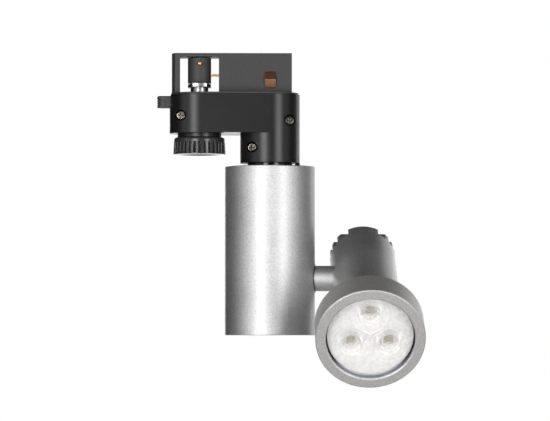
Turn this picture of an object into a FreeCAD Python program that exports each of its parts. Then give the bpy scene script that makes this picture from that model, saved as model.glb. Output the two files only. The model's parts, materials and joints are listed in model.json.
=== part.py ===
import FreeCAD, Part
import math
import os

# Museum track spotlight. An L-shaped track adapter carries a circuit selector knob and a locking
# lever; a round driver can pans on a hollow nipple under the adapter's leg; a tubular LED lamp
# head tilts on a hollow arm at the can's side.
# Millimetres. X runs from the can towards the lamp head, the front of the fixture faces -Y and Z
# is up. The origin is where the pan axis meets the plane that bears on the track.

V = FreeCAD.Vector
Z_AXIS = V(0, 0, 1)

RUN = 0.05  # running clearance of every turning fit, radial and axial
FAR = 100.0  # reach of cutting blocks that have to pass the whole fixture

# --- track adapter ---
ADAPTER_R = 16.6  # half the adapter's width and the radius of its rounded ends
ADAPTER_WALL = 1.9
SELECTOR_X = -39.2  # axis shared by the selector knob and the locking lever
FLANGE_T = 1.0  # thickness of the contact carrier's seating flange
FLANGE_R = 15.8
BODY_BOTTOM = -22.5
LEG_BOTTOM = -38.9
LEG_FLOOR_T = 2.4
NECK_R = 12.2  # round boss above the knob
NECK_BOTTOM = -24.6
INDEX_W = 0.6  # index notch in the neck
INDEX_DEPTH = 0.4
SCREW_SPOTS = ((-49.5, -12.7), (10.6, -15.5), (-10.1, -30.3))  # X and Z of the housing screws
SCREW_SEAT_Y = -6.0
SCREW_HEAD = (2.8, 1.7)  # head radius and height
SCREW_SHANK_R = 1.2
SCREW_CLEAR_R = 1.35
SCREW_THREAD = 6.0  # depth of thread in the rear half
SCREW_END_GAP = 0.5
RECESS_R = 3.15
BOSS_R = 4.0
SLOT_PLAY = 1.2  # degrees of free room beside the lever at both ends of its slot
SLOT_GAP = 0.2  # free room under the lever
LUG_IN = 13.9  # pan stop lug under the leg
LUG_W = 2.5
LUG_H = 1.2

# --- contact head above the seat ---
TONGUE_W = 14.4
TONGUE_R = 15.4  # rounded left end of the tongue
TONGUE_RIGHT = 12.0
TONGUE_TOP = 22.0
BRIDGE_T = 2.0
CAM_ROOM_R = 13.0  # turning room for wings and contacts
PLUG_R = 14.6
PLUG_X = -9.0
PLUG_BOTTOM = -6.0
ROTOR_R = 6.5
ROTOR_BOTTOM = 5.6
ROTOR_TOP = 19.5
CONTACT_REACH = 12.5
CONTACT_W = 3.0
CONTACT_T = 1.2
UPPER_CONTACT_Z = 15.2
LOWER_CONTACT_Z = 9.4
CONTACT_ROOT = 0.6  # gap between the shaft and the blades' inner ends
LEAF_T = 0.5
NEUTRAL_LEFT = -17.0
NEUTRAL_RIGHT = -13.0
NEUTRAL_ROOT = 3.0
NEUTRAL_CURL_R = 0.9
EARTH_W = 6.0
EARTH_BOW = 2.2
EARTH_ENDS = (2.6, 11.8)
POCKET_H = 3.0
POCKET_LEFT = -12.0
POCKET_RIGHT = -6.0
POCKET_HALF_W = 4.0

# --- selector knob and locking lever ---
SHAFT_R = 3.0
SHAFT_BOTTOM = -31.5
SHAFT_TOP = 21.0
SHAFT_FLAT = 2.4  # axis to the flat of the D-shaped seats
SHAFT_COLLAR_R = 4.5
SHAFT_COLLAR_T = 1.05
KNOB_FLAT_TOP = -25.6
KNOB_R = 14.6  # at the bottom, slightly wider than at the top
KNOB_TOP_R = 14.1
KNOB_BOTTOM = -34.1
KNOB_SHOULDER = 1.3
RIB_TOP = -27.3
RIB_BOTTOM = -33.6
RIB_COUNT = 32
RIB_GROOVE_W = 1.6
RIB_DEPTH = 1.2
DISH_R = 12.4
DISH_DEPTH = 1.5
LEVER_BOTTOM = -8.2
LEVER_TOP = -1.6
LEVER_DISC_R = 14.3
LEVER_REACH = 23.5
LEVER_W = 7.0
LEVER_EDGE = 0.6
LEVER_ROOT = 11.0  # centre of the tab's inner end, from the axis
LEVER_CUP_DEPTH = 4.0
LEVER_RIM_W = 1.4
LEVER_HUB_W = 2.0
GRIP_GROOVES = 3
GRIP_GROOVE_RISE = 1.5  # lowest grip groove above the lever's underside
GRIP_GROOVE_PITCH = 1.35
GRIP_GROOVE_W = 0.5
GRIP_GROOVE_DEPTH = 0.35
LEVER_SWING = 90.0
SLEEVE_R = 5.0
SLEEVE_FOOT_W = 1.5
SLEEVE_FOOT_T = 0.7
WING_BOTTOM = 3.0
WING_TOP = 5.0
WING_REACH = 12.8
WING_W = 8.0

# --- pan joint ---
NIPPLE_R = 5.0
NIPPLE_BORE_R = 3.5
NIPPLE_TOP = -33.0
NIPPLE_BOTTOM = -52.0
NUT_AF = 14.0
NIPPLE_NUT_H = 2.5
PAN_WASHER_R = 11.0
PAN_WASHER_T = 1.0
PAN_SPRING_R = 10.5
PAN_SPRING_H = 1.5
PAN_SPRING_T = 0.7
PAN_NUT_H = 3.5
COLLAR_R = 12.5
COLLAR_BOTTOM = -41.1
PAN_PIN_R = 1.2
PAN_PIN_REACH = 15.2
PAN_PIN_ANGLE = 125.0
PAN_PIN_SINK = 3.0  # depth of the pin in the cap
PAN_PIN_GAP = 0.3  # free room between the pin's end and the leg
WIRE_R = 0.8
WIRE_SPREAD = 1.7
WIRE_GAP = 0.5  # free gap between the two halves of a wire that crosses a joint
ADAPTER_WIRE_BENDS = (-17.0, -27.0)
INPUT_WIRE_BENDS = (-54.5, -61.0)
INPUT_WIRE_BEND_R = 2.0

# --- driver can ---
CAN_R = 25.0
CAN_BORE_R = 23.0
CAN_TOP = -40.9
CAN_BOTTOM = -134.4
CAN_EDGE = 0.4
CAP_BOTTOM = -44.4
CAP_SCREW = (2.2, 1.2, 6.5)  # head radius, shank radius, length
CAP_SCREW_Z = -42.8
CAP_SCREW_ANGLES = (45, 135)
BOTTOM_CAP_INSET = 1.2
BOTTOM_CAP_T = 2.0
BOTTOM_SCREW = (3.0, 1.5, 6.5)
BOTTOM_SKIRT_T = 1.5
BOTTOM_SKIRT_H = 3.0
BOTTOM_BOSS_R = 5.0
VENT_COUNT = 12
VENT_RING = 15.0
VENT_R = 1.3
SCREW_SINK = 0.2  # countersunk heads below the can's outside
CAP_HUB_R = 12.0
CAP_HUB_BOTTOM = -45.4
SMALL_HEAD = (2.2, 1.3)  # head radius and height of the small pan head screws
SMALL_SHANK_R = 1.2
BRACKET_OUT = -18.4
BRACKET_IN = -17.0
BRACKET_HALF_W = 10.0
BRACKET_SCREW_X = -15.5
BRACKET_SCREW_Y = 5.0
BRACKET_SCREW_REACH = 3.2
TOP_FOOT_RIGHT = -12.6
TOP_FOOT_HALF_W = 8.0
LOW_FOOT_RIGHT = 5.0
LOW_FOOT_HALF_W = 6.0
FOOT_BOTTOM = -130.2
FOOT_T = 1.2
FOOT_BOSS_R = 3.2
FOOT_BOSS_H = 2.8
CASE_RIGHT = 0.0
CASE_HALF_W = 14.0
CASE_BOTTOM = -124.0
CASE_TOP = -58.0
CASE_WALL = 1.2
CASE_SCREW_Z = (-110.0, -72.0)
CASE_SCREW_SHORT = 0.3  # screw ends below the case's inner face
LID_RIM_H = 1.0
LID_RIM_T = 1.0
LID_PLAY = 0.1
BOARD_LEFT = -14.0
BOARD_T = 1.4
BOARD_HALF_W = 12.0
BOARD_INSET = 3.0  # from the case's ends
POST_R = 2.0
POST_Y = 9.0
POST_INSET = 6.0
CORE_SIZE = (7.5, 14.0, 14.0)  # height off the board, width, length
COIL_SIZE = (9.5, 10.0, 20.0)
TRANSFORMER_Z = -92.0
CAPACITORS = ((-6.0, -112.0, 4.0), (6.0, -112.0, 4.0), (0.0, -70.0, 4.8))  # Y, Z and radius
CAPACITOR_H = 9.0
TERMINAL_TOP = -66.0
TERMINAL_BOTTOM = -78.0
TERMINAL_X = 5.0
TERMINAL_HALF_W = 7.0
TERMINAL_ROWS = (-4.0, 0.0, 4.0)
WELL_R = 1.4
WELL_OFFSET = 3.0
LAMP_WIRE_X = 1.3
LAMP_WIRE_BEND_R = 1.6

# --- tilt joint ---
TILT_Z = -102.9
HEAD_X = 52.6
REST_TILT = 28.0  # lamp axis below the horizontal in the rest pose
TILT_UP = 28.0  # travel up from rest to the horizontal
TILT_DOWN = 62.0  # travel down from rest to straight down
ARM_R = 7.1
ARM_STUB_R = 5.0
ARM_BORE_R = 3.0
ARM_SHOULDER_X = 18.4
ARM_END_X = 3.9
BUSH_R = 8.0
BUSH_PROUD = 0.3  # how far the bush stands out of the can
BLOCK_LEFT = 10.0
BLOCK_HALF_W = 12.0
BLOCK_HALF_H = 14.5
BLOCK_SCREW = (2.6, 1.4, 10.0)
BLOCK_SCREW_Z = 11.3
WASHER_T = 0.8
WASHER_PLAY = 0.1
STOP_WASHER_R = 8.3
STOP_WASHER_T = 1.0
STOP_TAB_REACH = 11.4
STOP_TAB_W = 3.5
STOP_PIN_R = 1.2
STOP_PIN_REACH = 10.0
STOP_PIN_PROUD = 1.4
STOP_PIN_SINK = 3.0
STOP_PLAY = 0.6  # degrees between tab and pin at both ends of the travel
TILT_SPRING_R = 8.0
TILT_SPRING_H = 1.0
TILT_SPRING_T = 0.5
TILT_NUT_H = 3.2

# --- lamp head, measured forward from the pivot along the lamp axis ---
BARREL_R = 18.25
BARREL_REAR = -29.0
FRONT = 72.1
RING_R = 29.7
RING_EDGE = 0.5  # outer chamfer of the front collar
RING_BEVEL = 0.7  # inner bevel around the lens opening
RING_BORE_R = 26.5
RING_REAR = 54.5
LENS_OPENING_R = 24.0
LIP_REAR = 68.4
CAVITY_R = 14.5
CAVITY_REAR = -16.0
CAVITY_HALF_FLAT = 9.0  # flat in the cavity that the arm's nut bears on
ARM_NUT_SEAT = 12.6
ARM_NUT_AF = 13.0
ARM_NUT_H = 3.0
ARM_NUT_THREAD = 3.2
FIN_PITCH = 4.9
FIN_SLOT_W = 3.0
FIN_SLOT_DEPTH = 6.0
FIN_SLOTS = 7
FLANGE_FRONT = 56.5
RIM_FRONT = 60.5
RIM_BORE_R = 24.5
RIM_PLAY = 0.1  # between the barrel's rim and the collar
REAR_CHAMFER = 0.4
GRUB_R = 1.5
GRUB_H = 2.5
GRUB_SOCKET = 1.5  # across flats and depth
GRUB_FORWARD = 58.0
WIRE_HOLE_R = 2.6
SPREADER_REAR = 46.0
PAD_R = 20.0
PAD_T = 0.4
LED_BOARD_R = 24.0
LED_BOARD_T = 1.6
LED_RING_R = 11.9
LED_TURN = 1.0
LED_SIZE = 5.0
LED_T = 0.9
DOME_R = 2.2
LENS_R = 25.9
LENS_REAR = 66.1
LENS_FRONT = 67.9
CONE_TIP_R = 4.6
CONE_MOUTH_R = 10.9
CONE_REAR = 60.0
LENS_HOLLOW_R = 2.6
LENS_HOLLOW_DEPTH = 2.6
HOLDER_R = 24.3
HOLDER_BORE_R = 22.9
HOLDER_FLOOR_T = 1.1
HOLDER_WINDOW_R = 3.7
GASKET_PLAY = 0.2
GASKET_BORE_R = 23.3  # a little inside the lens opening, seen as a dark line
HEAD_WIRE_R = 0.7
HEAD_WIRE_SPREAD = 0.9
HEAD_WIRE_BEND_R = 6.0

BODY_FLOOR = BODY_BOTTOM + ADAPTER_WALL
LEG_FLOOR = LEG_BOTTOM + LEG_FLOOR_T
ROOM_R = ADAPTER_R - ADAPTER_WALL
BOARD_FACE = BOARD_LEFT + BOARD_T
BOARD_FRONT = FLANGE_FRONT + PAD_T + LED_BOARD_T
BOTTOM_CAP_FACE = CAN_BOTTOM + BOTTOM_CAP_INSET
BLOCK_SEAT_X = ARM_SHOULDER_X - WASHER_T - RUN
PAN_STACK_TOP = CAP_HUB_BOTTOM - RUN
TILT_STACK_X = BLOCK_LEFT - RUN


# ---------------------------------------------------------------- basic shapes


def box(x0, x1, y0, y1, z0, z1):
    """Rectangular block between two corners."""
    return Part.makeBox(x1 - x0, y1 - y0, z1 - z0, V(x0, y0, z0))


def post(r, z0, z1, x=0.0, y=0.0):
    """Upright cylinder."""
    return Part.makeCylinder(r, z1 - z0, V(x, y, z0))


def tube(outer, inner, z0, z1, x=0.0, y=0.0):
    """Upright ring or sleeve."""
    return post(outer, z0, z1, x, y).cut(post(inner, z0, z1, x, y))


def rod(r, start, end):
    """Round bar from one point to another."""
    return Part.makeCylinder(r, (end - start).Length, start, end - start)


def turned(profile):
    """Solid of revolution about Z from a closed outline of (radius, z) corners."""
    corners = [V(r, 0, z) for r, z in profile]
    outline = Part.makePolygon(corners + corners[:1])
    return Part.Face(outline).revolve(V(0, 0, 0), Z_AXIS, 360)


def stadium(r, z0, z1, x0=SELECTOR_X, x1=0.0):
    """Upright slab with two parallel sides and two half-round ends."""
    left = Part.Arc(V(x0, r, z0), V(x0 - r, 0, z0), V(x0, -r, z0)).toShape()
    front = Part.LineSegment(V(x0, -r, z0), V(x1, -r, z0)).toShape()
    right = Part.Arc(V(x1, -r, z0), V(x1 + r, 0, z0), V(x1, r, z0)).toShape()
    back = Part.LineSegment(V(x1, r, z0), V(x0, r, z0)).toShape()
    return Part.Face(Part.Wire([left, front, right, back])).extrude(V(0, 0, z1 - z0))


def hexagon(across_flats, z0, z1):
    """Upright hexagonal bar with two flats facing Y."""
    corner_r = across_flats / math.sqrt(3)
    corners = []
    for k in range(7):
        x, y = polar(corner_r, 60 * k)
        corners.append(V(x, y, z0))
    return Part.Face(Part.makePolygon(corners)).extrude(V(0, 0, z1 - z0))


def hex_nut(across_flats, bore_r, z0, z1):
    """Hexagonal nut with two flats facing Y."""
    return hexagon(across_flats, z0, z1).cut(post(bore_r, z0, z1))


def joined(first, *others):
    """One solid from several touching or overlapping ones."""
    return first.fuse(list(others)).removeSplitter()


def turn(shape, degrees, x=0.0):
    """Copy of a shape turned about an upright axis at (x, 0)."""
    copy = shape.copy()
    copy.rotate(V(x, 0, 0), Z_AXIS, degrees)
    return copy


def group(shapes):
    """Several separate solids kept together in one node."""
    return Part.makeCompound(shapes)


def rim_edges(shape, rims):
    """Circular edges of an upright turned shape at the given (radius, z) places."""
    found = []
    for edge in shape.Edges:
        if not isinstance(edge.Curve, Part.Circle):
            continue
        for r, z in rims:
            if abs(edge.Curve.Radius - r) < 1e-6 and abs(edge.Curve.Center.z - z) < 1e-6:
                found.append(edge)
    return found


def polar(r, degrees):
    """Plan coordinates of a point at a radius and an angle."""
    angle = math.radians(degrees)
    return r * math.cos(angle), r * math.sin(angle)


def laid_along_x(shape):
    """Upright shape laid down so that its Z points along X."""
    copy = shape.copy()
    copy.rotate(V(0, 0, 0), V(0, 1, 0), 90)
    return copy


def on_tilt_axis(shape):
    """Upright shape laid along the tilt axis, its Z becoming the distance from the pan axis."""
    copy = laid_along_x(shape)
    copy.translate(V(0, 0, TILT_Z))
    return copy


def in_head(shape):
    """Upright shape put in the lamp head: Z is forward, Y is the head's top, pivot at zero."""
    copy = shape.copy()
    copy.rotate(V(0, 0, 0), V(1, 0, 0), 90 + REST_TILT)
    copy.translate(V(HEAD_X, 0, TILT_Z))
    return copy


def cable(points, bend, r):
    """Round cable made of straight runs joined by bends of one radius."""
    edges = []
    start = points[0]
    for before, corner, after in zip(points, points[1:], points[2:]):
        back = (before - corner).normalize()
        ahead = (after - corner).normalize()
        half = back.getAngle(ahead) / 2
        trim = bend / math.tan(half)
        middle = (back + ahead).normalize() * (bend / math.sin(half) - bend)
        entry = corner + back * trim
        leave = corner + ahead * trim
        edges.append(Part.LineSegment(start, entry).toShape())
        edges.append(Part.Arc(entry, corner + middle, leave).toShape())
        start = leave
    edges.append(Part.LineSegment(start, points[-1]).toShape())
    section = Part.Face(Part.Wire(Part.makeCircle(r, points[0], points[1] - points[0])))
    return Part.Wire(edges).makePipe(section)


# ---------------------------------------------------------------- fasteners


def cross_recess(size, depth, top):
    """Cross-shaped driver recess cut down from a screw head's top."""
    arm = box(-size, size, -size / 5, size / 5, top - depth, top)
    return joined(arm, turn(arm, 90))


def pan_screw(head_r, head_h, shank_r, length):
    """Pan head screw standing on its seat at z = 0, shank downwards."""
    head = post(head_r, 0, head_h)
    head = head.makeFillet(head_h * 0.55, rim_edges(head, [(head_r, head_h)]))
    head = head.cut(cross_recess(head_r * 0.6, head_h * 0.6, head_h))
    return joined(head, post(shank_r, -length, 0))


def flat_screw(head_r, shank_r, length):
    """Countersunk screw with its head top at z = 0, shank downwards."""
    head_h = head_r - shank_r
    body = turned([(0, 0), (head_r, 0), (shank_r, -head_h), (shank_r, -length), (0, -length)])
    return body.cut(cross_recess(head_r * 0.6, head_h * 0.7, 0))


def flat_screw_room(head_r, shank_r, length):
    """Countersunk hole for a flat screw, open beyond the head's top."""
    head_h = head_r - shank_r
    cone = turned([(0, 0), (head_r, 0), (shank_r, -head_h), (shank_r, -length), (0, -length)])
    return joined(cone, post(head_r, 0, 2))


# ---------------------------------------------------------------- track adapter


def adapter_outside():
    """Outer form of the closed housing: flat body, leg, knob neck and pan stop lug."""
    body = stadium(ADAPTER_R, BODY_BOTTOM, -FLANGE_T)
    leg = post(ADAPTER_R, LEG_BOTTOM, BODY_BOTTOM)
    neck = post(NECK_R, NECK_BOTTOM, BODY_BOTTOM, SELECTOR_X)
    half = LUG_W / 2
    lug = box(LUG_IN, ADAPTER_R + 1, -half, half, LEG_BOTTOM - LUG_H, LEG_BOTTOM)
    lug = lug.common(post(ADAPTER_R, LEG_BOTTOM - LUG_H, LEG_BOTTOM))
    return joined(body, leg, neck, lug)


def lever_slot():
    """Slot in the housing wall that lets the lever swing from the left end to the back."""
    half = math.degrees(math.asin(LEVER_W / 2 / ROOM_R)) + SLOT_PLAY
    low = LEVER_BOTTOM - SLOT_GAP
    centre = V(SELECTOR_X, 0, low)
    wedge = Part.makeCylinder(ADAPTER_R + 2, -low, centre, Z_AXIS, LEVER_SWING + 2 * half)
    return turn(wedge, 180 - LEVER_SWING - half, SELECTOR_X)


def housing_shell():
    """Both housing halves together: hollow shell with screw bosses, holes and lever slot."""
    outside = adapter_outside()
    room = stadium(ROOM_R, BODY_FLOOR, 0)
    leg_room = post(ROOM_R, LEG_FLOOR, BODY_FLOOR)
    shell = outside.cut([room, leg_room])
    envelope = outside.cut(box(-FAR, FAR, -FAR, FAR, -FLANGE_T, 0))
    for x, z in SCREW_SPOTS:
        boss = rod(BOSS_R, V(x, -ADAPTER_R, z), V(x, ADAPTER_R, z)).common(envelope)
        shell = shell.fuse(boss)
    cuts = [lever_slot()]
    for x, z in SCREW_SPOTS:
        cuts.append(rod(RECESS_R, V(x, -ADAPTER_R, z), V(x, SCREW_SEAT_Y, z)))
        cuts.append(rod(SCREW_CLEAR_R, V(x, SCREW_SEAT_Y, z), V(x, 0, z)))
        cuts.append(rod(SCREW_SHANK_R, V(x, 0, z), V(x, SCREW_THREAD, z)))
    cuts.append(post(NIPPLE_R, LEG_BOTTOM, LEG_FLOOR))
    cuts.append(post(SHAFT_R + RUN, NECK_BOTTOM, BODY_FLOOR, SELECTOR_X))
    half = INDEX_W / 2
    notch_y = -NECK_R + INDEX_DEPTH
    cuts.append(
        box(SELECTOR_X - half, SELECTOR_X + half, -NECK_R - 1, notch_y, NECK_BOTTOM, BODY_BOTTOM)
    )
    return shell.cut(cuts).removeSplitter()


def housing_front():
    """Front half of the housing, with the screw recesses."""
    return housing_shell().common(box(-FAR, FAR, -FAR, 0, -FAR, 0))


def housing_rear():
    """Rear half of the housing, which takes the screw threads."""
    return housing_shell().common(box(-FAR, FAR, 0, FAR, -FAR, 0))


def housing_screws():
    """Three pan head screws that clamp the housing halves together."""
    reach = SCREW_THREAD - SCREW_SEAT_Y - SCREW_END_GAP
    screws = []
    for x, z in SCREW_SPOTS:
        screw = pan_screw(*SCREW_HEAD, SCREW_SHANK_R, reach)
        screw.rotate(V(0, 0, 0), V(1, 0, 0), 90)
        screw.translate(V(x, SCREW_SEAT_Y, z))
        screws.append(screw)
    return group(screws)


def neutral_contact():
    """Copper leaf that reaches the track's neutral conductor from the tongue's back side."""
    low = LOWER_CONTACT_Z
    root_y = TONGUE_W / 2 - NEUTRAL_ROOT
    tip_y = CONTACT_REACH - NEUTRAL_CURL_R
    leaf = box(NEUTRAL_LEFT, NEUTRAL_RIGHT, root_y, tip_y, low, low + LEAF_T)
    middle = low + NEUTRAL_CURL_R
    curl = rod(NEUTRAL_CURL_R, V(NEUTRAL_LEFT, tip_y, middle), V(NEUTRAL_RIGHT, tip_y, middle))
    return joined(leaf, curl)


def earth_contacts():
    """Bowed earth springs on both sides of the tongue."""
    side = TONGUE_W / 2
    left = -EARTH_W / 2
    low, high = EARTH_ENDS
    middle = (low + high) / 2
    outline = [
        V(left, side, low),
        V(left, side + EARTH_BOW, middle),
        V(left, side, high),
        V(left, side, high - 2 * LEAF_T),
        V(left, side + EARTH_BOW - LEAF_T, middle),
        V(left, side, low + 2 * LEAF_T),
    ]
    spring = Part.Face(Part.makePolygon(outline + outline[:1])).extrude(V(EARTH_W, 0, 0))
    return group([spring, turn(spring, 180)])


def contact_carrier():
    """Insulating carrier: seating flange, locating plug and the tongue that enters the track."""
    flange = stadium(FLANGE_R, -FLANGE_T, 0)
    plug = stadium(PLUG_R, PLUG_BOTTOM, -FLANGE_T, PLUG_X, 0)
    half = TONGUE_W / 2
    tongue = box(SELECTOR_X - TONGUE_R, TONGUE_RIGHT, -half, half, 0, TONGUE_TOP)
    tongue = tongue.common(stadium(TONGUE_R, 0, TONGUE_TOP))
    body = joined(flange, plug, tongue)
    cam_room = post(CAM_ROOM_R, 0, TONGUE_TOP - BRIDGE_T, SELECTOR_X)
    sleeve_hole = post(SLEEVE_R + RUN, -FLANGE_T, 0, SELECTOR_X)
    shaft_hole = post(SHAFT_R + RUN, TONGUE_TOP - BRIDGE_T, TONGUE_TOP, SELECTOR_X)
    half = POCKET_HALF_W
    pocket = box(POCKET_LEFT, POCKET_RIGHT, -half, half, PLUG_BOTTOM, PLUG_BOTTOM + POCKET_H)
    return body.cut([cam_room, sleeve_hole, shaft_hole, pocket, neutral_contact()])


def pan_nipple():
    """Hollow threaded tube that carries the can and lets the wires through."""
    return tube(NIPPLE_R, NIPPLE_BORE_R, NIPPLE_BOTTOM, NIPPLE_TOP)


def nipple_nut():
    """Nut inside the leg that holds the nipple."""
    return turn(hex_nut(NUT_AF, NIPPLE_R, LEG_FLOOR, LEG_FLOOR + NIPPLE_NUT_H), 30)


def pan_collar():
    """Spacer ring under the leg that the can's cap turns against."""
    return tube(COLLAR_R, NIPPLE_R, COLLAR_BOTTOM, LEG_BOTTOM)


def pan_friction_washer():
    """Washer under the can's cap that gives the pan joint its drag."""
    return tube(PAN_WASHER_R, NIPPLE_R, PAN_STACK_TOP - PAN_WASHER_T, PAN_STACK_TOP)


def cone_washer(outer, bore, z0, z1, thickness):
    """Conical spring washer whose outer rim is the upper end."""
    return turned([(bore, z0), (outer, z1 - thickness), (outer, z1), (bore, z0 + thickness)])


def pan_spring_washer():
    """Conical spring that presses the friction washer up."""
    top = PAN_STACK_TOP - PAN_WASHER_T
    return cone_washer(PAN_SPRING_R, NIPPLE_R, top - PAN_SPRING_H, top, PAN_SPRING_T)


def pan_lock_nut():
    """Nut that sets the load of the pan spring."""
    top = PAN_STACK_TOP - PAN_WASHER_T - PAN_SPRING_H
    return hex_nut(NUT_AF, NIPPLE_R, top - PAN_NUT_H, top)


def wire_offsets():
    """Plan offsets of the three mains wires inside the nipple."""
    return [polar(WIRE_SPREAD, 90 + 120 * k) for k in range(3)]


def adapter_wires():
    """Three mains wires from the contact carrier down into the nipple."""
    wires = []
    pocket_x = (POCKET_LEFT + POCKET_RIGHT) / 2
    high, low = ADAPTER_WIRE_BENDS
    for x, y in wire_offsets():
        path = [
            V(x + pocket_x, y, PLUG_BOTTOM + POCKET_H),
            V(x + pocket_x, y, high),
            V(x, y, low),
            V(x, y, NIPPLE_BOTTOM + WIRE_GAP),
        ]
        wires.append(cable(path, 5 * WIRE_R, WIRE_R))
    return group(wires)


# ---------------------------------------------------------------- selector


def selector_shaft():
    """Shaft from the knob up to the contact rotor, with D-shaped seats at both ends."""
    shaft = post(SHAFT_R, SHAFT_BOTTOM, SHAFT_TOP, SELECTOR_X)
    low = BODY_FLOOR + RUN
    collar = post(SHAFT_COLLAR_R, low, low + SHAFT_COLLAR_T, SELECTOR_X)
    flat = SELECTOR_X + SHAFT_FLAT
    knob_flat = box(flat, flat + SHAFT_R, -SHAFT_R, SHAFT_R, SHAFT_BOTTOM, KNOB_FLAT_TOP)
    rotor_flat = box(flat, flat + SHAFT_R, -SHAFT_R, SHAFT_R, ROTOR_BOTTOM, ROTOR_TOP)
    return joined(shaft, collar).cut([knob_flat, rotor_flat])


def rib_groove():
    """Pointed groove between two ribs of the knob."""
    half = RIB_GROOVE_W / 2
    root = V(KNOB_TOP_R - RIB_DEPTH, 0, RIB_BOTTOM)
    corners = [root, V(KNOB_R, -half, RIB_BOTTOM), V(KNOB_R, half, RIB_BOTTOM), root]
    return Part.Face(Part.makePolygon(corners)).extrude(V(0, 0, RIB_TOP - RIB_BOTTOM))


def selector_knob():
    """Ribbed knob under the adapter with a rounded shoulder and a dished underside."""
    top = NECK_BOTTOM - RUN
    body = turned([(0, KNOB_BOTTOM), (KNOB_R, KNOB_BOTTOM), (KNOB_TOP_R, top), (0, top)])
    body = body.makeFillet(KNOB_SHOULDER, rim_edges(body, [(KNOB_TOP_R, top)]))
    cuts = [turn(rib_groove(), k * 360 / RIB_COUNT) for k in range(RIB_COUNT)]
    ball_r = (DISH_R**2 + DISH_DEPTH**2) / (2 * DISH_DEPTH)
    cuts.append(Part.makeSphere(ball_r, V(0, 0, KNOB_BOTTOM + DISH_DEPTH - ball_r)))
    body = body.cut(cuts)
    body.translate(V(SELECTOR_X, 0, 0))
    return body.cut(selector_shaft())


def phase_contacts():
    """Two copper blades of the selector, one for each level of the track's conductors."""
    half = CONTACT_W / 2
    reach = CONTACT_REACH - half
    strip = box(SHAFT_R + CONTACT_ROOT, reach, -half, half, 0, CONTACT_T)
    blade = joined(strip, post(half, 0, CONTACT_T, reach))
    upper = turn(blade, -90)
    upper.translate(V(SELECTOR_X, 0, UPPER_CONTACT_Z))
    lower = blade.copy()
    lower.translate(V(SELECTOR_X, 0, LOWER_CONTACT_Z))
    return group([upper, lower])


def contact_rotor():
    """Insulating drum that carries the selector's blades."""
    drum = post(ROTOR_R, ROTOR_BOTTOM, ROTOR_TOP, SELECTOR_X)
    return drum.cut([selector_shaft(), phase_contacts()])


# ---------------------------------------------------------------- locking lever


def lock_lever():
    """Locking lever: a cup-shaped disc inside the housing with a ridged finger tab."""
    half = LEVER_W / 2
    tip_x = SELECTOR_X - LEVER_REACH + half
    disc = post(LEVER_DISC_R, LEVER_BOTTOM, LEVER_TOP, SELECTOR_X)
    tab = stadium(half, LEVER_BOTTOM, LEVER_TOP, tip_x, SELECTOR_X - LEVER_ROOT)
    rims = [edge for edge in tab.Edges if edge.BoundBox.ZLength < LEVER_EDGE]
    lever = joined(disc, tab.makeFillet(LEVER_EDGE, rims))
    cup_top = LEVER_BOTTOM + LEVER_CUP_DEPTH
    hub_r = SLEEVE_R + LEVER_HUB_W
    cup = tube(LEVER_DISC_R - LEVER_RIM_W, hub_r, LEVER_BOTTOM, cup_top, SELECTOR_X)
    cuts = [cup, post(SLEEVE_R, LEVER_BOTTOM, LEVER_TOP, SELECTOR_X)]
    root_x = SELECTOR_X - ADAPTER_R
    for k in range(GRIP_GROOVES):
        low = LEVER_BOTTOM + GRIP_GROOVE_RISE + k * GRIP_GROOVE_PITCH
        high = low + GRIP_GROOVE_W
        around = stadium(half + 1, low, high, tip_x, root_x - half - 1)
        cuts.append(around.cut(stadium(half - GRIP_GROOVE_DEPTH, low, high, tip_x, root_x)))
    return lever.cut(cuts)


def lock_sleeve():
    """Sleeve on the selector shaft that joins the lever to the locking wings."""
    low = LEVER_BOTTOM - SLEEVE_FOOT_T
    foot = post(SLEEVE_R + SLEEVE_FOOT_W, low, LEVER_BOTTOM, SELECTOR_X)
    stem = post(SLEEVE_R, LEVER_BOTTOM, WING_TOP, SELECTOR_X)
    bore = post(SHAFT_R + RUN, low, WING_TOP, SELECTOR_X)
    return joined(foot, stem).cut(bore)


def lock_wings():
    """Steel wings that turn under the track's lips and carry the fixture."""
    half = WING_W / 2
    bar = box(SELECTOR_X - half, SELECTOR_X + half, -WING_REACH, WING_REACH, WING_BOTTOM, WING_TOP)
    hub = post(SLEEVE_R + SLEEVE_FOOT_W, WING_BOTTOM, WING_TOP, SELECTOR_X)
    rounded = bar.common(post(WING_REACH, WING_BOTTOM, WING_TOP, SELECTOR_X))
    return joined(rounded, hub).cut(post(SLEEVE_R, WING_BOTTOM, WING_TOP, SELECTOR_X))


# ---------------------------------------------------------------- driver can


def on_can_wall(shape, degrees, z):
    """Upright screw, head up, laid radially with its head flush with the can's outside."""
    copy = laid_along_x(shape)
    copy.translate(V(CAN_R - SCREW_SINK, 0, z))
    return turn(copy, degrees)


def cap_screws():
    """Two countersunk screws at the back that hold the top cap in the can."""
    return group([on_can_wall(flat_screw(*CAP_SCREW), a, CAP_SCREW_Z) for a in CAP_SCREW_ANGLES])


def cap_screw_rooms():
    """Holes for the cap screws."""
    return [on_can_wall(flat_screw_room(*CAP_SCREW), a, CAP_SCREW_Z) for a in CAP_SCREW_ANGLES]


def block_screw_heights():
    """Heights of the pivot block's screws, above and below the arm."""
    return (TILT_Z - BLOCK_SCREW_Z, TILT_Z + BLOCK_SCREW_Z)


def pivot_block_screws():
    """Two countersunk screws that hold the pivot block against the can's wall."""
    return group([on_can_wall(flat_screw(*BLOCK_SCREW), 0, z) for z in block_screw_heights()])


def block_screw_rooms():
    """Holes for the pivot block's screws."""
    return [on_can_wall(flat_screw_room(*BLOCK_SCREW), 0, z) for z in block_screw_heights()]


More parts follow.
